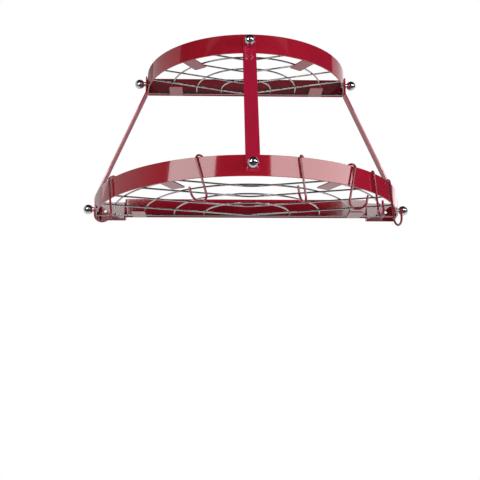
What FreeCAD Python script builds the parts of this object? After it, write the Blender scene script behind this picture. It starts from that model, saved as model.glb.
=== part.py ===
import FreeCAD, Part
import math
import os
import Sketcher

# Wall rack of two half-round shelves: flat steel strip frames, wire grids, straps, ball nuts and hooks.
# Millimetres. X runs along the wall, the wall is the plane Y = 0, the room is towards -Y, Z is up.
# The origin is midway between the two lower wall holes, at half the height of the lower strip.

Vector = FreeCAD.Vector
Rotation = FreeCAD.Rotation
Placement = FreeCAD.Placement

X_AXIS = Vector(1, 0, 0)
Y_AXIS = Vector(0, 1, 0)
Z_AXIS = Vector(0, 0, 1)

doc = FreeCAD.newDocument("pot_rack")
sheet = doc.addObject("Spreadsheet::Sheet", "Sizes")

# Driving dimensions: alias, value, meaning
driving_dimensions = [
    ("stripHeight", 38.1, "height of every frame strip"),
    ("stripThick", 2.5, "thickness of every frame strip"),
    ("upperRadius", 207.0, "outside radius of the upper band"),
    ("lowerRadius", 304.8, "outside radius of the lower band"),
    ("shelfPitch", 273.0, "height from the lower strip to the upper strip"),
    ("joggleDepth", 25.4, "clear gap behind the middle of the lower bar"),
    ("joggleLean", 3.0, "how far each joggle web leans outwards"),
    ("plateLength", 57.0, "length of each wall plate of the lower bar"),
    ("bendRadius", 2.5, "inside radius of the bends in flat strip"),
    ("wallHoleDia", 5.5, "holes for the wall screws"),
    ("wallHoleInset", 17.0, "from the outside of the lower band to a wall hole"),
    ("upperHoleRise", 9.0, "wall hole of the upper bar, above half its height"),
    ("strapWidth", 25.4, "width of the three straps"),
    ("strapThick", 2.5, "thickness of the three straps"),
    ("strapOverhang", 13.2, "strap end past its bolt"),
    ("strapBendDrop", 3.0, "strap bend past the edge of the strip"),
    ("strapCornerRadius", 2.0, "rounding of the strap's end corners"),
    ("sideBoltInset", 15.5, "from the wall to the side bolts"),
    ("boltDia", 5.0, "shank of the bolts"),
    ("boltClearance", 0.2, "bolt shank to hole, on the radius"),
    ("headDia", 9.6, "width of the round bolt head"),
    ("headHeight", 2.8, "height of the round bolt head"),
    ("boltReach", 9.0, "bolt inside its ball nut"),
    ("nutBoreSpare", 1.0, "ball nut bore past the bolt's end"),
    ("ballDia", 19.6, "ball of a ball nut"),
    ("collarDia", 9.5, "collar of a ball nut"),
    ("collarLength", 4.5, "collar of a ball nut, to the ball"),
    ("seatGap", 0.1, "between pieces that are fastened face to face"),
    ("tabWidth", 27.0, "width of a grid tab"),
    ("tabLength", 44.0, "grid tab, from the outside of a band or the face of a bar"),
    ("tabThick", 2.0, "thickness of a grid tab"),
    ("tabCornerRadius", 3.0, "rounding of a tab's free corners"),
    ("upperBackTabInset", 61.0, "from the outside of the upper band to the middle of a back tab"),
    ("lowerBackTabInset", 89.8, "from the outside of the lower band to the middle of a back tab"),
    ("wireDia", 3.2, "grid wire"),
    ("weldDepth", 0.8, "how far crossing wires are melted together"),
    ("upperArcForward", 20.0, "from the upper bar to the centre of its wire arcs"),
    ("upperArcFirst", 51.5, "radius of the smallest wire arc of the upper grid"),
    ("upperArcFrontGap", 30.0, "from the largest upper arc to the inside of its band, at the front"),
    ("upperVeeForward", 7.0, "from the upper bar to the first vee wire"),
    ("upperVeeFrontGap", 35.5, "from the last upper vee wire to the inside of its band, at the front"),
    ("lowerArcForward", 5.0, "from the lower bar to the centre of its wire arcs"),
    ("lowerArcFirst", 86.0, "radius of the smallest wire arc of the lower grid"),
    ("lowerArcFrontGap", 7.4, "from the largest lower arc to the inside of its band, at the front"),
    ("lowerVeeForward", 8.6, "from the lower bar to the first vee wire"),
    ("lowerVeeFrontGap", 70.3, "from the last lower vee wire to the inside of its band, at the front"),
    ("veeRadius", 60.0, "bend in the middle of a vee wire"),
    ("hookWireDia", 4.0, "hook wire"),
    ("hookArchRadius", 7.5, "arch over the band, at the middle of the wire"),
    ("hookInnerLeg", 9.0, "straight leg inside the band"),
    ("hookOuterLeg", 65.0, "straight leg outside the band"),
    ("hookBowlRadius", 15.2, "round bowl of the hook, at the middle of the wire"),
    ("hookTip", 12.0, "straight tip past the bowl"),
    ("hookSeatGap", 0.4, "arch above the band's top edge, hook upright"),
    ("overrun", 5.0, "drills and trims past the faces they cut"),
]
for row, (alias, value, meaning) in enumerate(driving_dimensions, start=1):
    sheet.set(f"A{row}", meaning)
    sheet.set(f"B{row}", str(value))
    sheet.setAlias(f"B{row}", alias)
doc.recompute()

# Angles in degrees and counts
upper_front_tab_angle = 34.5
lower_front_tab_angle = 29.5
upper_vee_angle = 20.0
lower_vee_angle = 15.5
upper_arc_count = 3
lower_arc_count = 4
vee_count = 4

# Hooks from left to right, in degrees: place round the band from its front, turn of the hook's plane
# from the radius of the band, lean along the band
hook_place_angles = (-57.0, -17.5, 16.4, 36.2, 47.5, 60.0)
hook_turn_angles = (-42.0, -40.0, -44.0, 35.0, -42.0, -45.0)
hook_lean_angles = (12.0, 16.0, 7.0, -15.0, 9.0, 12.0)

sub_parts = []


def size(name):
    return float(sheet.get(name))


def value_of(formula):
    return float(sheet.evalExpression(formula))


def named(words):
    # Formula with every driving dimension written in full
    for alias, _, _ in sorted(driving_dimensions, key=lambda entry: -len(entry[0])):
        words = words.replace("{" + alias + "}", "Sizes." + alias)
    return words


def bind(item, **formulas):
    for prop, words in formulas.items():
        item.setExpression(prop.replace("__", "."), named(words))


def keep(item, label):
    item.Label = label
    sub_parts.append(item)
    return item


def primitive(kind, name, **formulas):
    item = doc.addObject("Part::" + kind, name)
    bind(item, **formulas)
    return item


def move(item, base, turn=None):
    # Place an item by three formulas and an optional rotation
    if turn is not None:
        item.Placement = Placement(Vector(), turn)
    for axis, words in zip("xyz", base):
        if words:
            item.setExpression("Placement.Base." + axis, named(words))
    return item


def cut(name, base, tool):
    item = doc.addObject("Part::Cut", name)
    item.Base = base
    item.Tool = tool
    return item


def fuse(name, first, second):
    item = doc.addObject("Part::Fuse", name)
    item.Base = first
    item.Tool = second
    return item


def drilled(name, base, drills):
    # The base with each drill taken out of it in turn
    item = base
    for count, drill in enumerate(drills, start=1):
        item = cut(f"{name}_drilled_{count}", item, drill)
    return item


def origin_plane(body, role):
    return [item for item in body.Origin.OriginFeatures if item.Role == role][0]


def drive_point(sketch, line, end, point, pair):
    # Hold one end of a sketch line at two formulas, measured from the sketch's origin
    for kind, amount, formula in zip(("DistanceX", "DistanceY"), (point.x, point.y), pair):
        index = sketch.addConstraint(Sketcher.Constraint(kind, -1, 1, line, end, amount))
        sketch.setExpression(f"Constraints[{index}]", formula)


def outline_body(name, role, corners, width):
    # A closed outline of straight lines, every corner driven by two formulas, padded evenly both ways
    body = doc.addObject("PartDesign::Body", name + "_body")
    sketch = body.newObject("Sketcher::SketchObject", name + "_outline")
    sketch.AttachmentSupport = (origin_plane(body, role), [""])
    sketch.MapMode = "FlatFace"
    formulas = [(named(across), named(up)) for across, up in corners]
    points = [Vector(value_of(across), value_of(up), 0) for across, up in formulas]
    for start, end in zip(points, points[1:] + points[:1]):
        sketch.addGeometry(Part.LineSegment(start, end))
    for line in range(len(points)):
        sketch.addConstraint(Sketcher.Constraint("Coincident", line, 2, (line + 1) % len(points), 1))
    for line, (point, pair) in enumerate(zip(points, formulas)):
        drive_point(sketch, line, 1, point, pair)
    pad = body.newObject("PartDesign::Pad", name + "_pad")
    pad.Profile = sketch
    pad.SideType = "Symmetric"
    bind(pad, Length=width)
    doc.recompute()
    return body, pad, points


def round_edges(body, base, name, chosen, radius):
    # Fillet the chosen edges of the last feature
    edges = [f"Edge{index}" for index, edge in enumerate(base.Shape.Edges, start=1) if chosen(edge)]
    fillet = body.newObject("PartDesign::Fillet", name)
    fillet.Base = (base, edges)
    bind(fillet, Radius=radius)
    doc.recompute()
    return fillet


def straight_along(edge, axis):
    # Whether an edge's two ends lie along the axis
    if len(edge.Vertexes) != 2:
        return False
    start, end = (vertex.Point for vertex in edge.Vertexes)
    return (end - start).cross(axis).Length < size("seatGap")


def bent_edge(before, start, end):
    # Arc from start to end that carries on the straight run from before to start, and whether it turns left
    ahead = (start - before).normalize()
    aside = Vector(-ahead.y, ahead.x, 0)
    chord = end - start
    reach = chord.Length ** 2 / (2 * chord.dot(aside))
    centre = start + aside * reach
    first, last = (start, end) if reach > 0 else (end, start)
    angles = [math.atan2(point.y - centre.y, point.x - centre.x) for point in (first, last)]
    return Part.ArcOfCircle(Part.Circle(centre, Z_AXIS, abs(reach)), *angles), reach > 0


def wire_body(name, role, corners, bends, diameter):
    # Round wire through driven corners; bends are the stretches that are arcs, each after a straight run
    body = doc.addObject("PartDesign::Body", name + "_body")
    path = body.newObject("Sketcher::SketchObject", name + "_path")
    path.AttachmentSupport = (origin_plane(body, role), [""])
    path.MapMode = "FlatFace"
    formulas = [(named(across), named(up)) for across, up in corners]
    points = [Vector(value_of(across), value_of(up), 0) for across, up in formulas]
    count = len(points) - 1
    ends = []
    for line in range(count):
        piece, onward = Part.LineSegment(points[line], points[line + 1]), True
        if line in bends:
            piece, onward = bent_edge(*points[line - 1:line + 2])
        path.addGeometry(piece)
        ends.append((1, 2) if onward else (2, 1))
    for line in range(1, count):
        kind = "Tangent" if line in bends else "Coincident"
        path.addConstraint(Sketcher.Constraint(kind, line - 1, ends[line - 1][1], line, ends[line][0]))
    drive_point(path, 0, ends[0][0], points[0], formulas[0])
    for line in range(count):
        drive_point(path, line, ends[line][1], points[line + 1], formulas[line + 1])
    doc.recompute()
    profile = body.newObject("Sketcher::SketchObject", name + "_profile")
    profile.AttachmentSupport = (path, ["Edge1"])
    profile.MapMode = "NormalToEdge"
    width = value_of(named(diameter))
    profile.addGeometry(Part.Circle(Vector(), Z_AXIS, width / 2))
    profile.addConstraint(Sketcher.Constraint("Coincident", 0, 3, -1, 1))
    index = profile.addConstraint(Sketcher.Constraint("Diameter", 0, width))
    profile.setExpression(f"Constraints[{index}]", named(diameter))
    pipe = body.newObject("PartDesign::AdditivePipe", name + "_pipe")
    pipe.Profile = profile
    pipe.Spine = (path, [f"Edge{line}" for line in range(1, count + 1)])
    doc.recompute()
    return body


# Shelf values that both frames share, by shelf
shelves = {
    "upper": {"radius": "{upperRadius}", "level": "{shelfPitch}", "bar_face": "{stripThick}"},
    "lower": {"radius": "{lowerRadius}", "level": "0", "bar_face": "({joggleDepth} + {stripThick})"},
}
bolt_hole = "{boltDia} / 2 + {boltClearance}"


def side_drill(name, side, level):
    # Drill along X for a side bolt, from inside the band to past the strap
    drill = primitive("Cylinder", name, Radius=bolt_hole, Height="{lowerRadius} * 2")
    return move(drill, ("", "-{sideBoltInset}", level), Rotation(Z_AXIS, X_AXIS * side))


def front_drill(name, level):
    # Drill along Y for a front bolt, from inside the band to past the strap
    drill = primitive("Cylinder", name, Radius=bolt_hole, Height="{lowerRadius} * 2")
    return move(drill, ("", "", level), Rotation(Z_AXIS, -Y_AXIS))


# Half-round band of one shelf, with its three bolt holes
def band(shelf):
    radius, level = shelves[shelf]["radius"], shelves[shelf]["level"]
    half_turn = Rotation(Z_AXIS, 180)
    base = ("", "-{stripThick}", f"{level} - {{stripHeight}} / 2")
    outside = primitive("Cylinder", shelf + "_band_outside", Radius=radius, Height="{stripHeight}")
    outside.Angle = 180
    move(outside, base, half_turn)
    inside = primitive("Cylinder", shelf + "_band_inside", Radius=f"{radius} - {{stripThick}}",
                       Height="{stripHeight} + 2 * {overrun}")
    move(inside, ("", "-{stripThick}", f"{level} - {{stripHeight}} / 2 - {{overrun}}"))
    ring = cut(shelf + "_band_ring", outside, inside)
    sides = (("left", -1), ("right", 1))
    drills = [side_drill(f"{shelf}_band_{word}_hole", side, level) for word, side in sides]
    drills.append(front_drill(shelf + "_band_front_hole", level))
    keep(drilled(shelf + "_band", ring, drills), shelf + "_band")


# Straight bar across the back of the upper shelf, with its wall hole in the middle
def upper_back_bar():
    bar = primitive("Box", "upper_bar_strip", Length="2 * {upperRadius}", Width="{stripThick}",
                    Height="{stripHeight}")
    move(bar, ("-{upperRadius}", "-{stripThick}", "{shelfPitch} - {stripHeight} / 2"))
    hole = primitive("Cylinder", "upper_bar_hole", Radius="{wallHoleDia} / 2",
                     Height="{stripThick} + 2 * {overrun}")
    move(hole, ("", "{overrun}", "{shelfPitch} + {upperHoleRise}"), Rotation(Z_AXIS, -Y_AXIS))
    keep(cut("upper_back_bar_cut", bar, hole), "upper_back_bar")


# Lower bar, bent from one strip: wall plates at the ends, the middle standing clear of the wall
def lower_back_bar():
    plate_end = "({lowerRadius} - {plateLength})"
    web_foot = f"({plate_end} - {{stripThick}})"
    front_corners = [
        ("{lowerRadius}", "-{stripThick}"),
        (plate_end, "-{stripThick}"),
        (f"{plate_end} - {{joggleLean}}", "-{joggleDepth} - {stripThick}"),
    ]
    back_corners = [
        (f"{web_foot} - {{joggleLean}}", "-{joggleDepth}"),
        (web_foot, "0"),
        ("{lowerRadius}", "0"),
    ]
    front_left = [(f"-({across})", back) for across, back in reversed(front_corners)]
    back_left = [(f"-({across})", back) for across, back in reversed(back_corners)]
    corners = front_corners + front_left + back_left + back_corners
    body, pad, points = outline_body("lower_bar", "XY_Plane", corners, "{stripHeight}")
    inside = [points[index] for index in (1, 4, 7, 10)]
    outside = [points[index] for index in (2, 3, 8, 9)]

    def at(edge, places):
        if not straight_along(edge, Z_AXIS):
            return False
        spot = edge.Vertexes[0].Point
        return any(math.hypot(spot.x - place.x, spot.y - place.y) < size("seatGap") for place in places)

    inner = round_edges(body, pad, "lower_bar_inner_bends", lambda edge: at(edge, inside), "{bendRadius}")
    round_edges(body, inner, "lower_bar_outer_bends", lambda edge: at(edge, outside),
                "{bendRadius} + {stripThick}")
    holes = []
    for word, side in (("left", "-"), ("right", "")):
        hole = primitive("Cylinder", f"lower_bar_{word}_hole", Radius="{wallHoleDia} / 2",
                         Height="{stripThick} + 2 * {overrun}")
        across = f"{side}({{lowerRadius}} - {{wallHoleInset}})"
        move(hole, (across, "{overrun}", ""), Rotation(Z_AXIS, -Y_AXIS))
        holes.append(hole)
    keep(drilled("lower_back_bar", body, holes), "lower_back_bar")


# Bent flat strap: flat on the upper strip, sloping out and down, flat on the lower strip
def strap(name, role, reach_sign, base, drills):
    inner_top = "({upperRadius} + {seatGap})"
    inner_foot = "({lowerRadius} + {seatGap})"
    bend_top = "({shelfPitch} - {stripHeight} / 2 - {strapBendDrop})"
    bend_foot = "({stripHeight} / 2 + {strapBendDrop})"
    slope = f"atan(({{lowerRadius}} - {{upperRadius}}) / ({bend_top} - {bend_foot}))"
    mitre = f"({{strapThick}} * tan({slope} / 2))"
    top = "({shelfPitch} + {strapOverhang})"
    foot = "(-{strapOverhang})"
    right_way = [
        (inner_top, top),
        (inner_top, bend_top),
        (inner_foot, bend_foot),
        (inner_foot, foot),
        (f"{inner_foot} + {{strapThick}}", foot),
        (f"{inner_foot} + {{strapThick}}", f"{bend_foot} + {mitre}"),
        (f"{inner_top} + {{strapThick}}", f"{bend_top} + {mitre}"),
        (f"{inner_top} + {{strapThick}}", top),
    ]
    corners = [(f"{reach_sign}({across})", up) for across, up in right_way]
    body, pad, points = outline_body(name, role, corners, "{strapWidth}")
    across_axis = X_AXIS if role == "XZ_Plane" else Y_AXIS
    ends = (size("shelfPitch") + size("strapOverhang"), -size("strapOverhang"))

    def end_corner(edge):
        if not straight_along(edge, across_axis):
            return False
        return any(abs(edge.Vertexes[0].Point.z - end) < size("seatGap") for end in ends)

    round_edges(body, pad, name + "_corners", end_corner, "{strapCornerRadius}")
    move(body, base)
    keep(drilled(name, body, drills), name)


# Round-headed bolt through strip and strap, along its own Z from the inside of the strip
head_round_share = 0.7


def bolt(name, base, direction, grip):
    head = primitive("Cylinder", name + "_head", Radius="{headDia} / 2", Height="{headHeight}")
    move(head, ("", "", "-{headHeight}"))
    shank = primitive("Cylinder", name + "_shank", Radius="{boltDia} / 2", Height=f"{grip} + {{boltReach}}")
    whole = fuse(name + "_whole", head, shank)
    doc.recompute()
    rounded = doc.addObject("Part::Fillet", name + "_rounded")
    rounded.Base = whole

    def crown_edge(edge):
        top = abs(edge.Vertexes[0].Point.z + size("headHeight")) < size("seatGap")
        return top and len(edge.Vertexes) == 1

    crown = [index for index, edge in enumerate(whole.Shape.Edges, start=1) if crown_edge(edge)]
    round_over = size("headHeight") * head_round_share
    rounded.Edges = [(index, round_over, round_over) for index in crown]
    move(rounded, base, Rotation(Z_AXIS, direction))
    keep(rounded, name)


# Ball nut: a collar against the strap and a ball, bored for the bolt
def ball_nut(name, base, direction):
    centre = "({collarLength} + sqrt(({ballDia} / 2) ^ 2 - ({collarDia} / 2) ^ 2))"
    ball = primitive("Sphere", name + "_ball", Radius="{ballDia} / 2")
    move(ball, ("", "", centre))
    collar = primitive("Cylinder", name + "_collar", Radius="{collarDia} / 2", Height=centre)
    whole = fuse(name + "_whole", ball, collar)
    bore = primitive("Cylinder", name + "_bore", Radius=bolt_hole,
                     Height="{boltReach} + {nutBoreSpare} + {overrun}")
    move(bore, ("", "", "-{overrun}"))
    nut = cut(name + "_bored", whole, bore)
    move(nut, base, Rotation(Z_AXIS, direction))
    keep(nut, name)


# Flat tab inside the bottom edge of a strip, on which the grid lies; a tab on a band is cut to its round
def tab(name, shelf, base, turn, on_band):
    half = "{tabWidth} / 2"
    corners = [(f"-{half}", "0"), (half, "0"), (half, "-{tabLength}"), (f"-{half}", "-{tabLength}")]
    plate, pad, points = outline_body(name, "XY_Plane", corners, "{tabThick}")

    def free_corner(edge):
        return straight_along(edge, Z_AXIS) and edge.Vertexes[0].Point.y < -size("tabLength") / 2

    round_edges(plate, pad, name + "_corners", free_corner, "{tabCornerRadius}")
    move(plate, base, turn)
    if not on_band:
        keep(plate, name)
        return
    radius, level = shelves[shelf]["radius"], shelves[shelf]["level"]
    inside = primitive("Cylinder", name + "_trim", Radius=f"{radius} - {{stripThick}} - {{seatGap}}",
                       Height="{stripHeight}")
    move(inside, ("", "-{stripThick}", f"{level} - {{stripHeight}} / 2"))
    trimmed = doc.addObject("Part::Common", name + "_trimmed")
    trimmed.Base = plate
    trimmed.Tool = inside
    keep(trimmed, name)


# Straight wire along the back bar
def back_wire(shelf, back):
    radius = shelves[shelf]["radius"]
    corners = [(f"-{radius}", back), (radius, back)]
    return wire_body(shelf + "_back_wire", "XY_Plane", corners, (), "{wireDia}")


# Wire with a wide bend in the middle and both ends towards the room
def vee_wire(shelf, number, middle, angle):
    radius = shelves[shelf]["radius"]
    point = f"({middle} + {{veeRadius}} * (1 / cos({angle}) - 1))"
    bend_across = f"{{veeRadius}} * sin({angle})"
    bend_back = f"{point} - {{veeRadius}} * tan({angle}) * sin({angle})"
    end_back = f"{point} - {radius} * tan({angle})"
    corners = [(f"-{radius}", end_back), (f"-{bend_across}", bend_back), (bend_across, bend_back),
               (radius, end_back)]
    return wire_body(f"{shelf}_vee_{number}", "XY_Plane", corners, (1,), "{wireDia}")


# Half-round wire with straight ends that reach the back wire
def arc_wire(shelf, number, centre, radius, back):
    corners = [(f"-{radius}", back), (f"-{radius}", centre), (radius, centre), (radius, back)]
    return wire_body(f"{shelf}_arc_{number}", "XY_Plane", corners, (1,), "{wireDia}")


# Welded grid of one shelf: a back wire and nested vees under nested arcs, trimmed to the band
def grid(shelf, vee_angle, arc_count):
    radius, level, bar_face = (shelves[shelf][key] for key in ("radius", "level", "bar_face"))
    first_arc, first_vee = f"{{{shelf}ArcFirst}}", f"({bar_face} + {{{shelf}VeeForward}})"
    last_vee = f"({radius} - {{{shelf}VeeFrontGap}})"
    arc_centre = f"({bar_face} + {{{shelf}ArcForward}})"
    last_arc = f"({radius} - {{{shelf}ArcFrontGap}} - {arc_centre})"
    low = f"({level} - {{stripHeight}} / 2 + {{tabThick}} + {{wireDia}} / 2)"
    high = f"({low} + {{wireDia}} - {{weldDepth}})"
    back = f"-({bar_face} + {{wireDia}} / 2 + {{seatGap}})"
    wires = [move(back_wire(shelf, back), ("", "", low))]
    for number in range(vee_count):
        middle = f"(-{first_vee} - {number} * ({last_vee} - {first_vee}) / {vee_count - 1})"
        wires.append(move(vee_wire(shelf, number + 1, middle, vee_angle), ("", "", low)))
    for number in range(arc_count):
        arc_radius = f"({first_arc} + {number} * ({last_arc} - {first_arc}) / {arc_count - 1})"
        wire = arc_wire(shelf, number + 1, f"-{arc_centre}", arc_radius, back)
        wires.append(move(wire, ("", "", high)))
    welded = doc.addObject("Part::MultiFuse", shelf + "_grid_welded")
    welded.Shapes = wires
    inside = primitive("Cylinder", shelf + "_grid_trim", Radius=f"{radius} - {{stripThick}} - {{seatGap}}",
                       Height="{stripHeight}")
    move(inside, ("", "-{stripThick}", f"{level} - {{stripHeight}} / 2"))
    trimmed = doc.addObject("Part::Common", shelf + "_grid_trimmed")
    trimmed.Base = welded
    trimmed.Tool = inside
    keep(trimmed, shelf + "_grid")


# Wire hook: an arch over the band's top edge, a leg down its outside and a round bowl with a tip
def hook(name, place, turn, lean):
    arch, bowl = "{hookArchRadius}", "{hookBowlRadius}"
    shoulder = f"-({arch} - {{hookWireDia}} / 2)"
    foot = f"{shoulder} - {{hookOuterLeg}}"
    tip_across = f"{arch} + 2 * {bowl}"
    corners = [
        (f"-{arch}", f"{shoulder} - {{hookInnerLeg}}"),
        (f"-{arch}", shoulder),
        (arch, shoulder),
        (arch, foot),
        (tip_across, foot),
        (tip_across, f"{foot} + {{hookTip}}"),
    ]
    body = wire_body(name, "XZ_Plane", corners, (1, 3), "{hookWireDia}")
    middle = "({lowerRadius} - {stripThick} / 2)"
    seat = f"{{stripHeight}} / 2 + {{hookSeatGap}} + {{hookWireDia}} * abs(sin({lean}))"
    round_band, tipped, own = (Rotation(Z_AXIS, place - 90), Rotation(X_AXIS, lean), Rotation(Z_AXIS, turn))
    move(body, (f"{middle} * sin({place})", f"-{{stripThick}} - {middle} * cos({place})", seat),
         round_band.multiply(tipped).multiply(own))
    keep(body, name)


for shelf_name in ("upper", "lower"):
    band(shelf_name)
upper_back_bar()
lower_back_bar()

front_holes = [front_drill(f"front_strap_{shelf}_hole", shelves[shelf]["level"]) for shelf in shelves]
strap("front_strap", "YZ_Plane", "-", ("", "-{stripThick}", ""), front_holes)
for word, sign, side in (("left", "-", -1), ("right", "", 1)):
    side_holes = [side_drill(f"{word}_strap_{shelf}_hole", side, shelves[shelf]["level"])
                  for shelf in shelves]
    strap(word + "_strap", "XZ_Plane", sign, ("", "-{sideBoltInset}", ""), side_holes)

for shelf_name, shelf in shelves.items():
    radius, level = shelf["radius"], shelf["level"]
    head_reach = "({sideBoltInset} - {stripThick} + {headDia} / 2)"
    side_seat = f"(sqrt(({radius} - {{stripThick}}) ^ 2 - {head_reach} ^ 2) - {{seatGap}})"
    side_face = f"({radius} + {{seatGap}} + {{strapThick}})"
    for word, sign, side in (("left", "-", -1), ("right", "", 1)):
        place = f"{shelf_name}_{word}"
        bolt(place + "_bolt", (sign + side_seat, "-{sideBoltInset}", level), X_AXIS * side,
             f"{side_face} - {side_seat}")
        ball_nut(place + "_ball_nut", (f"{sign}({side_face} + {{seatGap}})", "-{sideBoltInset}", level),
                 X_AXIS * side)
    front_seat = f"(sqrt(({radius} - {{stripThick}}) ^ 2 - ({{headDia}} / 2) ^ 2) - {{seatGap}})"
    front_face = f"({radius} + {{seatGap}} + {{strapThick}})"
    bolt(shelf_name + "_front_bolt", ("", f"-{{stripThick}} - {front_seat}", level), -Y_AXIS,
         f"{front_face} - {front_seat}")
    ball_nut(shelf_name + "_front_ball_nut", ("", f"-{{stripThick}} - {front_face} - {{seatGap}}", level),
             -Y_AXIS)

for shelf_name, angle in (("upper", upper_front_tab_angle), ("lower", lower_front_tab_angle)):
    radius, level, face = (shelves[shelf_name][key] for key in ("radius", "level", "bar_face"))
    floor = f"{level} - {{stripHeight}} / 2 + {{tabThick}} / 2"
    across = f"{radius} * sin({angle})"
    along = f"-{{stripThick}} - {radius} * cos({angle})"
    back_across = f"({radius} - {{{shelf_name}BackTabInset}})"
    for word, sign, side in (("left", "-", -1), ("right", "", 1)):
        place = f"{shelf_name}_{word}"
        tab(place + "_front_tab", shelf_name, (f"{sign}({across})", along, floor),
            Rotation(Z_AXIS, 180 + side * angle), True)
        tab(place + "_back_tab", shelf_name, (sign + back_across, f"-{face} - {{seatGap}}", floor),
            Rotation(), False)

grid("upper", upper_vee_angle, upper_arc_count)
grid("lower", lower_vee_angle, lower_arc_count)
hook_places = zip(hook_place_angles, hook_turn_angles, hook_lean_angles)
for number, (place, turn, lean) in enumerate(hook_places, start=1):
    hook(f"hook_{number}", place, turn, lean)

doc.recompute()
for item in doc.Objects:
    if {"Invalid", "Error"} & set(item.State):
        raise RuntimeError(f"{item.Label} failed: {item.State}")
for item in sub_parts:
    shape = item.Shape
    if shape.isNull() or not shape.isValid() or len(shape.Solids) != 1:
        raise RuntimeError(f"{item.Label} is not one valid solid")

os.makedirs("parts", exist_ok=True)
for item in sub_parts:
    item.Shape.exportStep(f"parts/{item.Label}.step")
print(len(sub_parts), "sub-parts written")
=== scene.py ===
import math
import bpy
from mathutils import Matrix, Vector

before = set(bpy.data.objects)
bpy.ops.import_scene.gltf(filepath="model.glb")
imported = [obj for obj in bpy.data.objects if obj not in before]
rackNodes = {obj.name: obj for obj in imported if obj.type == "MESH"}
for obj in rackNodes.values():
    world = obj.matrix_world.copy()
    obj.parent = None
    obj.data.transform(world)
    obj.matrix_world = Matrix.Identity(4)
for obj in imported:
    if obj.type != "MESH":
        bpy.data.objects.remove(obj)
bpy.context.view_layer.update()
print("frame loaded:", len(rackNodes), "nodes")

skinLook = {
    "flowScale": 26.0, "flowDetail": 2.0,      # slow drift of the enamel's thickness, per metre
    "peelScale": 520.0, "peelDetail": 1.0,     # orange peel, per metre
    "hazeDetail": 3.0,                         # haze of the plating, its scale is each finish's own
    "noiseRoughness": 0.5, "noiseMiddle": 0.5,
    "coatRoughness": 0.03,
}


def makeGroup(name, inputs, outputs):
    group = bpy.data.node_groups.new(name, "ShaderNodeTree")
    for way, labels in (("INPUT", inputs), ("OUTPUT", outputs)):
        for label in labels:
            kind = "NodeSocketColor" if label == "Color" else "NodeSocketFloat"
            group.interface.new_socket(name=label, in_out=way, socket_type=kind)
    entry = group.nodes.new("NodeGroupInput")
    leave = group.nodes.new("NodeGroupOutput")
    return group, entry, leave


def addNode(tree, kind, **values):  # a value goes to the node's setting of that name, or else to its socket
    node = tree.nodes.new(kind)
    for key, value in values.items():
        if hasattr(node, key):
            setattr(node, key, value)
        else:
            node.inputs[key].default_value = value
    return node


def noiseOn(tree, scale, detail):  # scale is a number or the output that carries it
    place = addNode(tree, "ShaderNodeTexCoord")
    noise = addNode(tree, "ShaderNodeTexNoise", Detail=detail, Roughness=skinLook["noiseRoughness"])
    if isinstance(scale, float):
        noise.inputs["Scale"].default_value = scale
    else:
        tree.links.new(scale, noise.inputs["Scale"])
    tree.links.new(place.outputs["Object"], noise.inputs["Vector"])
    return noise.outputs["Fac"]


def ramp(tree, along, edges, low=0.0, high=1.0):
    slope = addNode(tree, "ShaderNodeMapRange", interpolation_type="SMOOTHSTEP")
    slope.inputs["From Min"].default_value, slope.inputs["From Max"].default_value = edges
    slope.inputs["To Min"].default_value, slope.inputs["To Max"].default_value = low, high
    tree.links.new(along, slope.inputs["Value"])
    return slope.outputs["Result"]


def mathOn(tree, operation, *values):  # each value is a number or the output that carries it
    step = addNode(tree, "ShaderNodeMath", operation=operation)
    for socket, value in zip(step.inputs, values):
        if isinstance(value, float):
            socket.default_value = value
        else:
            tree.links.new(value, socket)
    return step.outputs[0]


def blendOn(tree, share, under, over):  # under and over are colours or the outputs that carry them
    blend = addNode(tree, "ShaderNodeMix", data_type="RGBA")
    tree.links.new(share, blend.inputs["Factor"])
    for socket, color in (("A", under), ("B", over)):
        if isinstance(color, tuple):
            blend.inputs[socket].default_value = color
        else:
            tree.links.new(color, blend.inputs[socket])
    return blend.outputs["Result"]


def enamelSkin():  # sprayed enamel: colour and gloss drift a little, with faint orange peel
    group, entry, leave = makeGroup("enamelSkin", ("Color", "Drift", "Gloss"), ("Color", "Roughness", "Peel"))
    flow = noiseOn(group, skinLook["flowScale"], skinLook["flowDetail"])
    peel = noiseOn(group, skinLook["peelScale"], skinLook["peelDetail"])
    spread = mathOn(group, "SUBTRACT", flow, skinLook["noiseMiddle"])
    amount = mathOn(group, "MULTIPLY_ADD", spread, entry.outputs["Drift"], 1.0)
    gloss = mathOn(group, "MULTIPLY", amount, entry.outputs["Gloss"])
    tint = addNode(group, "ShaderNodeMix", data_type="RGBA", blend_type="MULTIPLY")
    tint.inputs["Factor"].default_value = 1.0
    group.links.new(entry.outputs["Color"], tint.inputs["A"])
    group.links.new(amount, tint.inputs["B"])
    group.links.new(tint.outputs["Result"], leave.inputs["Color"])
    group.links.new(gloss, leave.inputs["Roughness"])
    group.links.new(peel, leave.inputs["Peel"])
    return group


def platedSkin():  # bright plating: gloss varies with fine haze
    group, entry, leave = makeGroup("platedSkin", ("Gloss", "Haze", "Scale"), ("Roughness",))
    haze = noiseOn(group, entry.outputs["Scale"], skinLook["hazeDetail"])
    soft = mathOn(group, "MULTIPLY_ADD", haze, entry.outputs["Haze"], entry.outputs["Gloss"])
    group.links.new(soft, leave.inputs["Roughness"])
    return group


skins = {"enamel": enamelSkin(), "plated": platedSkin()}
print("shader groups made:", len(skins))

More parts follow.
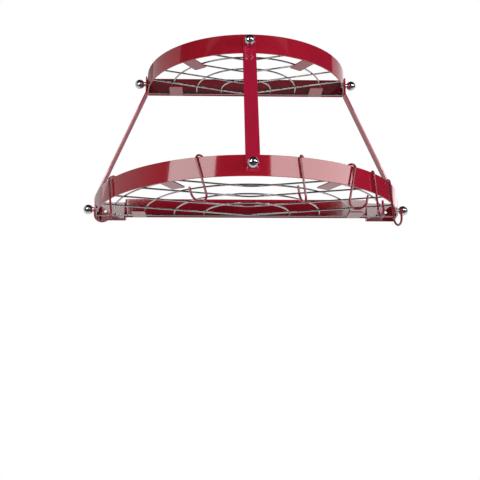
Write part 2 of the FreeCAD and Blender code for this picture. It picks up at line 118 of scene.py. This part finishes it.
# drift is a share of the colour and the gloss, gloss and haze are roughness, peel is in metres
enamelLooks = {
    "redEnamel": {"color": (0.32, 0.0078, 0.018, 1), "drift": 0.22, "gloss": 0.09,
                  "peel": 3e-5, "coat": 0.6},
    # the straps' enamel is the red enamel painted lighter and more magenta: painted light on the straps
    "strapEnamelPaintedLight": {"color": (0.39, 0.009, 0.032, 1), "drift": 0.18, "gloss": 0.08,
                    "peel": 2e-5, "coat": 0.7},
    "hookEnamel": {"color": (0.20, 0.008, 0.018, 1), "drift": 0.20, "gloss": 0.12,
                   "peel": 2e-5, "coat": 0.8},
}
platedLooks = {
    "brightWire": {"color": (0.58, 0.56, 0.55, 1), "gloss": 0.10, "haze": 0.10, "scale": 150.0},
    "ballChrome": {"color": (0.64, 0.64, 0.65, 1), "gloss": 0.02, "haze": 0.03, "scale": 90.0},
    "boltSteel": {"color": (0.46, 0.46, 0.48, 1), "gloss": 0.22, "haze": 0.18, "scale": 400.0},
}


def startMaterial(name, skin):
    material = bpy.data.materials.new(name)
    material.use_nodes = True
    tree = material.node_tree
    group = addNode(tree, "ShaderNodeGroup", node_tree=skin)
    return material, tree, tree.nodes["Principled BSDF"], group


def enamelMaterial(name):
    look = enamelLooks[name]
    material, tree, surface, group = startMaterial(name, skins["enamel"])
    group.inputs["Color"].default_value = look["color"]
    group.inputs["Drift"].default_value = look["drift"]
    group.inputs["Gloss"].default_value = look["gloss"]
    surface.inputs["Coat Weight"].default_value = look["coat"]
    surface.inputs["Coat Roughness"].default_value = skinLook["coatRoughness"]
    bump = addNode(tree, "ShaderNodeBump", Strength=1.0, Distance=look["peel"])
    tree.links.new(group.outputs["Color"], surface.inputs["Base Color"])
    tree.links.new(group.outputs["Roughness"], surface.inputs["Roughness"])
    tree.links.new(group.outputs["Peel"], bump.inputs["Height"])
    tree.links.new(bump.outputs["Normal"], surface.inputs["Normal"])
    return material


def platedMaterial(name):
    look = platedLooks[name]
    material, tree, surface, group = startMaterial(name, skins["plated"])
    group.inputs["Gloss"].default_value = look["gloss"]
    group.inputs["Haze"].default_value = look["haze"]
    group.inputs["Scale"].default_value = look["scale"]
    surface.inputs["Base Color"].default_value = look["color"]
    surface.inputs["Metallic"].default_value = 1.0
    tree.links.new(group.outputs["Roughness"], surface.inputs["Roughness"])
    return material


finishes = {name: enamelMaterial(name) for name in enamelLooks}
finishes.update({name: platedMaterial(name) for name in platedLooks})

# how a node's name ends, and its finish; bands, bars and tabs are left for the red enamel, the straps get a
# copy of it with painted light
finishOfEnding = {
    "_ball_nut": "ballChrome", "_bolt": "boltSteel", "_grid": "brightWire", "_strap": "strapEnamelPaintedLight",
}


def finishOf(node):
    if node.startswith("hook_"):
        return finishes["hookEnamel"]
    for ending, finish in finishOfEnding.items():
        if node.endswith(ending):
            return finishes[finish]
    return finishes["redEnamel"]


for node, piece in rackNodes.items():
    piece.data.materials.clear()
    piece.data.materials.append(finishOf(node))
print("finishes given to", len(rackNodes), "nodes")

stripEdge = {
    "endings": ("_band", "_back_bar", "_strap", "_tab"),
    "weld": 2e-6, "round": 0.00045, "segments": 2,     # metres
    "angle": 50.0,                                     # degrees, sharper corners are rounded
    "flatWeight": 100,                                 # keeps the wide faces flat in the reflections
}


def roundStripEdges(piece):  # sheared strip, its edges rolled and rounded by the enamel
    weld = piece.modifiers.new("weld", "WELD")
    weld.merge_threshold = stripEdge["weld"]
    bevel = piece.modifiers.new("edge", "BEVEL")
    bevel.width = stripEdge["round"]
    bevel.segments = stripEdge["segments"]
    bevel.limit_method = "ANGLE"
    bevel.angle_limit = math.radians(stripEdge["angle"])
    normals = piece.modifiers.new("normals", "WEIGHTED_NORMAL")
    normals.mode = "FACE_AREA"
    normals.weight = stripEdge["flatWeight"]


strips = [piece for node, piece in rackNodes.items() if node.endswith(stripEdge["endings"])]
for piece in strips:
    roundStripEdges(piece)
print("edges rounded on", len(strips), "strips")

floorLook = {
    "size": 22.0, "drop": 1.15,            # metres
    "color": (0.82, 0.82, 0.82, 1), "roughness": 0.9,
    "dim": (0.08, 0.08, 0.08, 1),          # what gloss sees of it far in front of the wall
    "white": 0.66,                         # share of plain white that eye and gloss see
    "fade": (1.3, 4.5),                    # metres from the rack over which the eye's share becomes all white
    "sweep": (-0.6, 0.15),                 # metres from the wall, towards it: from dim to white in the gloss
}


def makeFloor():
    look = floorLook
    half, level = look["size"] / 2, -look["drop"]
    mesh = bpy.data.meshes.new("floor")
    corners = [(-half, -half, level), (half, -half, level), (half, half, level), (-half, half, level)]
    mesh.from_pydata(corners, [], [(0, 1, 2, 3)])
    floor = bpy.data.objects.new("floor", mesh)
    bpy.context.collection.objects.link(floor)
    material = bpy.data.materials.new("paleFloor")
    material.use_nodes = True
    tree = material.node_tree
    matt = tree.nodes["Principled BSDF"]
    matt.inputs["Roughness"].default_value = look["roughness"]
    ray = addNode(tree, "ShaderNodeLightPath")
    place = addNode(tree, "ShaderNodeTexCoord")
    spot = addNode(tree, "ShaderNodeSeparateXYZ")
    away = addNode(tree, "ShaderNodeVectorMath", operation="LENGTH")
    tree.links.new(place.outputs["Object"], spot.inputs["Vector"])
    tree.links.new(place.outputs["Object"], away.inputs[0])
    inGloss = mathOn(tree, "MAXIMUM", ray.outputs["Is Glossy Ray"], ray.outputs["Is Transmission Ray"])
    near = mathOn(tree, "MULTIPLY", inGloss, ramp(tree, spot.outputs["Y"], look["sweep"]))
    far = mathOn(tree, "SUBTRACT", inGloss, near)
    color = blendOn(tree, far, look["color"], look["dim"])
    toEye = ramp(tree, away.outputs["Value"], look["fade"], look["white"], 1.0)
    toEye = mathOn(tree, "MULTIPLY", ray.outputs["Is Camera Ray"], toEye)
    toGloss = mathOn(tree, "MULTIPLY", near, look["white"])
    paper = addNode(tree, "ShaderNodeEmission", Strength=1.0)
    blend = addNode(tree, "ShaderNodeMixShader")
    tree.links.new(color, matt.inputs["Base Color"])
    tree.links.new(mathOn(tree, "MAXIMUM", toEye, toGloss), blend.inputs[0])
    tree.links.new(matt.outputs["BSDF"], blend.inputs[1])
    tree.links.new(paper.outputs["Emission"], blend.inputs[2])
    tree.links.new(blend.outputs["Shader"], tree.nodes["Material Output"].inputs["Surface"])
    mesh.materials.append(material)


# place and aim in metres, width and height, radiance, and which surfaces see it
lamps = {
    "keyLight": {"place": (0.10, -3.0, 0.09), "aim": (0.0, 0.0, 0.11), "size": (2.4, 0.20),
                 "radiance": 17.5, "sees": "matt"},       # low, so that each band shades its bar
    "highLight": {"place": (0.10, -3.0, 0.58), "aim": (0.0, 0.0, 0.20), "size": (1.4, 0.12),
                  "radiance": 29.0, "sees": "matt"},      # over the upper band, to its bar
    "coolLight": {"place": (2.55, -1.55, 0.09), "aim": (0.0, -0.1, 0.11), "size": (2.0, 0.20),
                  "radiance": 37.0, "sees": "matt", "tint": (1.0, 1.0, 1.7)},
    "sideLight": {"place": (-2.55, -1.55, 0.09), "aim": (0.0, -0.1, 0.11), "size": (2.0, 0.20),
                  "radiance": 14.0, "sees": "matt"},
    "wallLight": {"place": (0.0, 3.0, 0.60), "aim": (0.0, 0.0, 0.15), "size": (2.4, 0.80),
                  "radiance": 5.0, "sees": "matt"},       # for the views from behind
    "leftBox": {"place": (-0.665, -0.835, 0.18), "aim": (-0.525, -0.135, 0.18), "size": (0.68, 0.36),
                "radiance": 4.7, "sees": "gloss", "tint": (0.87, 1.0, 0.98)},     # pale patches of the bands
    "rightBox": {"place": (1.316, -1.255, 0.475), "aim": (0.644, -0.515, 0.475), "size": (2.20, 0.45),
                 "radiance": 4.8, "sees": "gloss", "tint": (0.87, 1.0, 0.98)},
    "leftPanel": {"place": (-1.30, 0.41, 0.925), "aim": (0.0, 0.41, 0.70), "size": (1.48, 0.95),
                  "radiance": 0.45, "sees": "both"},      # greys the left end of the upper band
    "rightCard": {"place": (0.66, 0.82, 0.875), "aim": (-0.20, 0.31, 0.875), "size": (1.22, 0.85),
                  "radiance": 0.6, "sees": "gloss"},      # pale right end of the upper band
    "lowCard": {"place": (0.62, 0.76, 0.275), "aim": (-0.03, 0.0, 0.275), "size": (0.58, 0.35),
                "radiance": 1.1, "sees": "gloss"},        # pale right end of the lower band
    "barCard": {"place": (0.0, -0.50, 0.49), "aim": (0.0, 0.35, 1.02), "size": (0.80, 0.095),
                "radiance": 0.2, "sees": "gloss"},        # tilted so that only the upper bar mirrors it
    "leftSlip": {"place": (-0.335, -0.835, 0.40), "aim": (-0.25, -0.03, 0.13), "size": (0.14, 0.26),
                 "radiance": 3.6, "sees": "gloss"},       # mirrored by the front edges of the side straps
    "rightSlip": {"place": (0.405, -0.835, 0.40), "aim": (0.25, -0.03, 0.13), "size": (0.14, 0.26),
                  "radiance": 3.6, "sees": "gloss"},
}


def makeLamp(name):
    look = lamps[name]
    width, height = look["size"]
    lamp = bpy.data.lights.new(name, "AREA")
    lamp.shape = "RECTANGLE"
    lamp.size, lamp.size_y = width, height
    lamp.energy = look["radiance"] * math.pi * width * height
    lamp.color = look.get("tint", (1, 1, 1))
    stand = bpy.data.objects.new(name, lamp)
    bpy.context.collection.objects.link(stand)
    towards = Vector(look["aim"]) - Vector(look["place"])
    turn = towards.to_track_quat("-Z", "Y").to_matrix().to_4x4()
    stand.matrix_world = Matrix.Translation(look["place"]) @ turn
    stand.visible_camera = False
    stand.visible_diffuse = look["sees"] != "gloss"
    stand.visible_glossy = look["sees"] != "matt"


# matt surfaces see the fill, gloss and glass see the walls
# each pair of edges is the part of the way along one axis, from -1 to 1, over which the colour changes
roomLook = {
    "eye": (1.0, 1.0, 1.0, 1),
    "fillFront": (0.05, 0.05, 0.05, 1), "fillBack": (0.40, 0.40, 0.41, 1), "fillEdges": (-0.3, 0.5),
    "wallFront": (0.02, 0.02, 0.02, 1), "wallBack": (0.24, 0.24, 0.24, 1), "wallEdges": (0.5, 0.95),
    "wallLeft": (0.46, 0.46, 0.46, 1),
    "leftSide": (-0.5, -0.1), "leftTop": (0.34, 0.44), "leftBack": (-0.8, 0.2),
}


def makeRoom():  # white behind the rack, dim towards the room, grey on the left
    look = roomLook
    world = bpy.data.worlds.new("studio")
    bpy.context.scene.world = world
    world.use_nodes = True
    tree = world.node_tree
    tree.nodes.clear()
    ray = addNode(tree, "ShaderNodeLightPath")
    place = addNode(tree, "ShaderNodeTexCoord")
    way = addNode(tree, "ShaderNodeSeparateXYZ")
    tree.links.new(place.outputs["Generated"], way.inputs["Vector"])
    fillShare = ramp(tree, way.outputs["Y"], look["fillEdges"])
    fill = blendOn(tree, fillShare, look["fillFront"], look["fillBack"])
    wallShare = ramp(tree, way.outputs["Y"], look["wallEdges"])
    walls = blendOn(tree, wallShare, look["wallFront"], look["wallBack"])
    leftward = ramp(tree, way.outputs["X"], look["leftSide"], 1.0, 0.0)
    below = ramp(tree, way.outputs["Z"], look["leftTop"], 1.0, 0.0)
    backward = ramp(tree, way.outputs["Y"], look["leftBack"])
    leftShare = mathOn(tree, "MULTIPLY", mathOn(tree, "MULTIPLY", leftward, below), backward)
    walls = blendOn(tree, leftShare, walls, look["wallLeft"])
    inGloss = mathOn(tree, "MAXIMUM", ray.outputs["Is Glossy Ray"], ray.outputs["Is Transmission Ray"])
    lit = blendOn(tree, inGloss, fill, walls)
    seen = blendOn(tree, ray.outputs["Is Camera Ray"], lit, look["eye"])
    light = addNode(tree, "ShaderNodeBackground", Strength=1.0)
    leave = addNode(tree, "ShaderNodeOutputWorld")
    tree.links.new(seen, light.inputs["Color"])
    tree.links.new(light.outputs["Background"], leave.inputs["Surface"])


cameraLook = {
    "place": (-0.0630, -1.6808, -0.4532),
    "pitch": 0.2303, "yaw": -0.0298, "roll": -0.0035,   # radians
    "focal": 846.9, "frame": 480.0,                     # pixels
    "sensor": 36.0,                                     # millimetres
    "clip": (0.01, 50.0),                               # metres
}


def makeCamera():
    look = cameraLook
    lens = bpy.data.cameras.new("camera")
    lens.sensor_width = look["sensor"]
    lens.lens = look["focal"] / look["frame"] * look["sensor"]
    lens.clip_start, lens.clip_end = look["clip"]
    yaw, pitch, roll = look["yaw"], look["pitch"], look["roll"]
    side = Vector((math.cos(yaw), math.sin(yaw), 0))
    level = Vector((-math.sin(yaw), math.cos(yaw), 0))
    ahead = level * math.cos(pitch) + Vector((0, 0, math.sin(pitch)))
    up = side.cross(ahead)
    right = side * math.cos(roll) + up * math.sin(roll)
    top = up * math.cos(roll) - side * math.sin(roll)
    turn = Matrix((right, top, -ahead)).transposed().to_4x4()
    camera = bpy.data.objects.new("camera", lens)
    bpy.context.collection.objects.link(camera)
    camera.matrix_world = Matrix.Translation(look["place"]) @ turn
    bpy.context.scene.camera = camera


makeFloor()
for name in lamps:
    makeLamp(name)
makeRoom()
makeCamera()
bpy.context.scene.view_settings.view_transform = "Standard"
print("floor, room, camera and", len(lamps), "lamps set")
